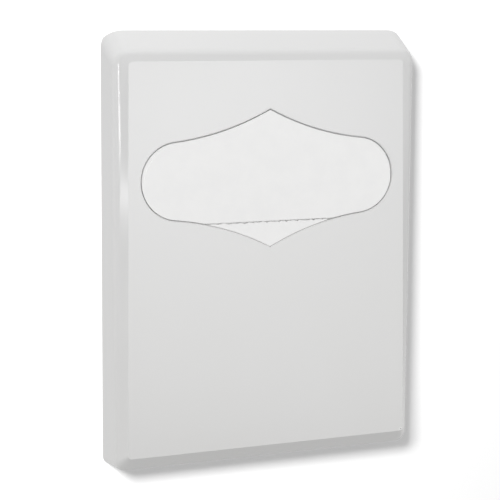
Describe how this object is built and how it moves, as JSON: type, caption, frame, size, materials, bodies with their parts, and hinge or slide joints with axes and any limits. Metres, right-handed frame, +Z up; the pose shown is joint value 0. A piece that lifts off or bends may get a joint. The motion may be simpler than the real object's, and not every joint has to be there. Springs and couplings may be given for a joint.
{
  "type": "toilet seat cover dispenser",
  "caption": "Wall-hung portrait dispenser for folded paper toilet seat covers, with a drafted white front and an ogee window",
  "frame": {"origin": "centre of the four wall holes, on the back plate's face against the wall", "axes": "+Y into the wall, so the front faces -Y; +Z up; X along the width"},
  "size_m": [0.2934, 0.0472, 0.3948],
  "materials": {
    "cover": "gloss moulded white",
    "plate": "satin moulded white",
    "steel": "bright drawn",
    "chrome": "polished",
    "paper": "soft tissue"
  },
  "bodies": {
    "base": {"back_plate": "plate", "hinge_pin_left": "steel", "hinge_pin_right": "steel", "seat_cover_pack": "paper", "leading_seat_cover": "paper"},
    "cover": {"front_cover": "cover", "lock_barrel": "chrome", "lock_nut": "steel"},
    "lock_core": {"lock_plug": "chrome", "lock_cam": "steel", "cam_screw": "steel"}
  },
  "joints": [
    {"name": "cover_swing", "type": "hinge", "parent": "base", "child": "cover", "pos_m": [0, -0.0106, 0.191], "axis": [-1, 0, 0], "range_deg": [0, 90]},
    {"name": "lock_turn", "type": "hinge", "parent": "cover", "child": "lock_core", "pos_m": [0, -0.0225, -0.185], "axis": [0, 0, 1], "range_deg": [-90, 0]}
  ]
}
